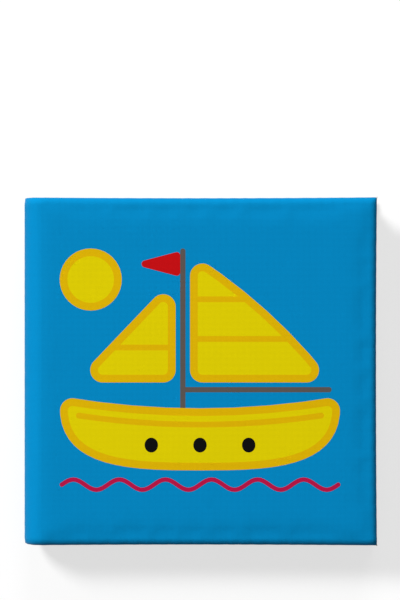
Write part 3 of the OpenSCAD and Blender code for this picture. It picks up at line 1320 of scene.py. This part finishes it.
class ClothBook:
    """The whole book: two padded covers, its leaves, its stitches and its print."""

    def __init__(self) -> None:
        """Read the sizes and make the finishes."""
        self.sizes = BookSizes.from_frame()
        undyed = Dye.OFF_WHITE.value
        self.blue = ClothFinish("blue_cover_cloth", Dye.BLUE.value, undyed=undyed).material()
        self.lining = ClothFinish(
            "off_white_lining", Dye.OFF_WHITE.value, gap_shade=LIGHT_GAP_SHADE
        ).material()
        self.page = ClothFinish(
            "off_white_page_cloth", Dye.OFF_WHITE.value, gap_shade=LIGHT_GAP_SHADE
        ).material()
        self.thread = ThreadFinish("blue_thread", Dye.BLUE_THREAD.value).material()

    def cover(self, side: Side, swell: Rows) -> bpy.types.Object:
        """Make one cover's two cloths and its seam.

        Args:
            side: Which cover.
            swell: How far the filling lifts a free cloth.

        Returns:
            The outer cloth.
        """
        cover = PaddedCover(self.sizes, side)
        front = side is Side.FRONT
        outer = Puckers(11.0 if front else 58.0, waves=0.05 if front else 0.02)
        inner = Puckers(31.0 if front else 78.0, waves=0.03, slack=0.3)
        cloths = (
            (Face.OUTER, "panel", "cover_cloth", self.blue, outer, 1.0 if front else 0.0),
            (Face.INNER, "lining", "lining_cloth", self.lining, inner, LINING_SWELL_SHARE),
        )
        made = []
        for face, node, slot, finish, puckers, share in cloths:
            cloth = CoverCloth(cover, face, puckers, swell, share)
            piece = cloth.make(f"{side.word}_{node}_cloth", finish)
            self.join_to_spine(piece)
            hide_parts(f"{side.word}_{node}")
            made.append(piece)
        self.seam(cover)
        return made[0]

    def join_to_spine(self, piece: bpy.types.Object) -> None:
        """Bake the cloth's placement into its mesh.

        Args:
            piece: The cloth.
        """
        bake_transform(piece)

    def seam(self, cover: PaddedCover) -> None:
        """Sew the seam round one cover.

        Args:
            cover: The cover.
        """
        s = self.sizes
        inset, share, pitch, rings = 0.12, 0.14, 2.6, 6
        sewing = Stitching(0.24, sides=5)
        parts = MeshParts()
        half = s.height / 2 - inset
        far = s.section_l - inset
        places = [(d, sign * half) for sign in (-1, 1) for d in spread(1.5, far, pitch)]
        places += [(far, y) for y in spread(-half, half, pitch)]
        for length, y in places:
            ends = [
                Vector(cover.plain(face, [(length, share)], [(y, 1.0)])[0, 0])
                for face in (Face.OUTER, Face.INNER)
            ]
            path = [ends[0].lerp(ends[1], i / (rings - 1)) for i in range(rings)]
            sewing.add_stitch(parts, path, Vector((0, 1, 0)))
        piece = parts.make(f"{cover.side.word}_seam_stitches", self.thread)
        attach(piece, f"{cover.side.word}_cover")
        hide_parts(f"{cover.side.word}_seam_thread")

    def leaves(self) -> None:
        """Make the two padded inner leaves as one piece."""
        parts = MeshParts()
        for side in Side:
            InnerLeaf(self.sizes, side).add_to(parts)
        piece = parts.make("page_leaves", self.page)
        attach(piece, "pages")
        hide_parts("pages")

    def spine_stitches(self) -> None:
        """Sew the saddle stitches in the fold of the spine, with their ends sunk into it."""
        s = self.sizes
        sunk, rings = 0.45, 22
        sewing = Stitching(s.thread_d)
        parts = MeshParts()
        for centre in s.stitch_places:
            path = []
            for i in range(rings):
                share = 2 * i / (rings - 1) - 1
                x = s.spine_x + s.thread_d / 2 + sunk * share**6
                path.append(Vector((x, centre + s.stitch_l / 2 * share, s.half_t)))
            sewing.add_stitch(parts, path, Vector((0, 0, 1)))
        piece = parts.make("spine_stitches", self.thread)
        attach(piece, "pages")
        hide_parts("spine_stitching")

    def filling(self) -> None:
        """Give the hidden wadding and film their finishes."""
        wadding = WaddingFinish("polyester_wadding", Dye.FIBRE.value).material()
        film = FilmFinish("crackling_film", Dye.FILM.value).material()
        for side in Side:
            for node, finish in (("wadding", wadding), ("crinkle_film", film)):
                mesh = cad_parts[f"{side.word}_{node}"].data
                mesh.materials.clear()
                mesh.materials.append(finish)

    def cover_print(self, panel: bpy.types.Object) -> None:
        """Lay the inks on the front cover.

        Args:
            panel: The front cover's outer cloth.
        """
        ground = PrintGround(panel.data)
        for shape in (
            PrintedShape("print_yellow", "print_yellow", Dye.YELLOW),
            PrintedShape("print_outline", "print_ochre", Dye.OCHRE),
            PrintedShape("print_rigging", "print_grey", Dye.GREY),
            PrintedShape("print_portholes", "print_black", Dye.BLACK),
            PrintedShape("print_pennant", "print_red", Dye.RED),
            PrintedShape("print_waves", "print_magenta", Dye.MAGENTA),
        ):
            piece = shape.make(ground, self.sizes)
            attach(piece, "front_cover")
            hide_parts(shape.node)

    def build(self) -> None:
        """Make every piece of the book."""
        swell = FilledCover(PaddedCover(self.sizes, Side.FRONT)).swell()
        panel = self.cover(Side.FRONT, swell)
        self.cover(Side.BACK, swell[:, ::-1])
        self.leaves()
        self.spine_stitches()
        self.filling()
        self.cover_print(panel)


@dataclass(frozen=True)
class Studio:
    """Floor, lamps and camera."""

    sizes: BookSizes
    lens: float = 120.0
    sensor: float = 36.0
    picture_height: float = 209.6
    book_below_centre: float = 25.0
    floor_side: float = 6.0
    fill: float = 0.15

    def floor(self) -> None:
        """Lay the floor under the book."""
        half = self.floor_side / 2
        mesh = bpy.data.meshes.new("studio_floor")
        corners = [(-half, -half, 0), (half, -half, 0), (half, half, 0), (-half, half, 0)]
        mesh.from_pydata(corners, [], [(0, 1, 2, 3)])
        mesh.materials.append(FloorFinish("plain_white_floor").material())
        plane = bpy.data.objects.new("studio_floor", mesh)
        bpy.context.scene.collection.objects.link(plane)

    def lamp(self, name: str, place: tuple[float, float, float], size: float, power: float) -> None:
        """Hang a soft lamp that looks at the book.

        Args:
            name: The lamp's name.
            place: Where it hangs, in metres.
            size: Its side, in metres.
            power: Its power, in watts.
        """
        light = bpy.data.lights.new(name, "AREA")
        light.shape = "SQUARE"
        light.size = size
        light.energy = power
        lamp = bpy.data.objects.new(name, light)
        lamp.location = place
        lamp.rotation_euler = (-Vector(place)).to_track_quat("-Z", "Y").to_euler()
        bpy.context.scene.collection.objects.link(lamp)

    def world(self) -> None:
        """Fill the shadows a little from all round."""
        world = bpy.data.worlds.new("studio_world")
        world.use_nodes = True
        sky = world.node_tree.nodes["Background"]
        sky.inputs["Color"].default_value = (1, 1, 1, 1)
        sky.inputs["Strength"].default_value = self.fill
        bpy.context.scene.world = world

    def camera(self) -> None:
        """Hang the camera over the book, looking straight down."""
        data = bpy.data.cameras.new("studio_camera")
        data.lens = self.lens
        data.sensor_width = self.sensor
        data.clip_end = 20.0
        camera = bpy.data.objects.new("studio_camera", data)
        away = self.lens / self.sensor * self.picture_height
        height = (2 * self.sizes.half_t + away) * MM
        camera.location = (0.0, self.book_below_centre * MM, height)
        bpy.context.scene.collection.objects.link(camera)
        bpy.context.scene.camera = camera

    def build(self) -> None:
        """Set the whole studio up."""
        self.floor()
        self.lamp("key_lamp", (-2.1, 1.9, 2.25), 0.9, 152.0)
        self.lamp("head_lamp", (0.2, 3.0, 1.2), 1.0, 36.0)
        self.world()
        self.camera()
        bpy.context.scene.view_settings.view_transform = "Standard"


def main() -> None:
    """Build the book and its studio."""
    logging.basicConfig(level=logging.INFO, format="%(name)s: %(message)s")
    book = ClothBook()
    book.build()
    Studio(book.sizes).build()


if __name__ == "__main__":
    main()
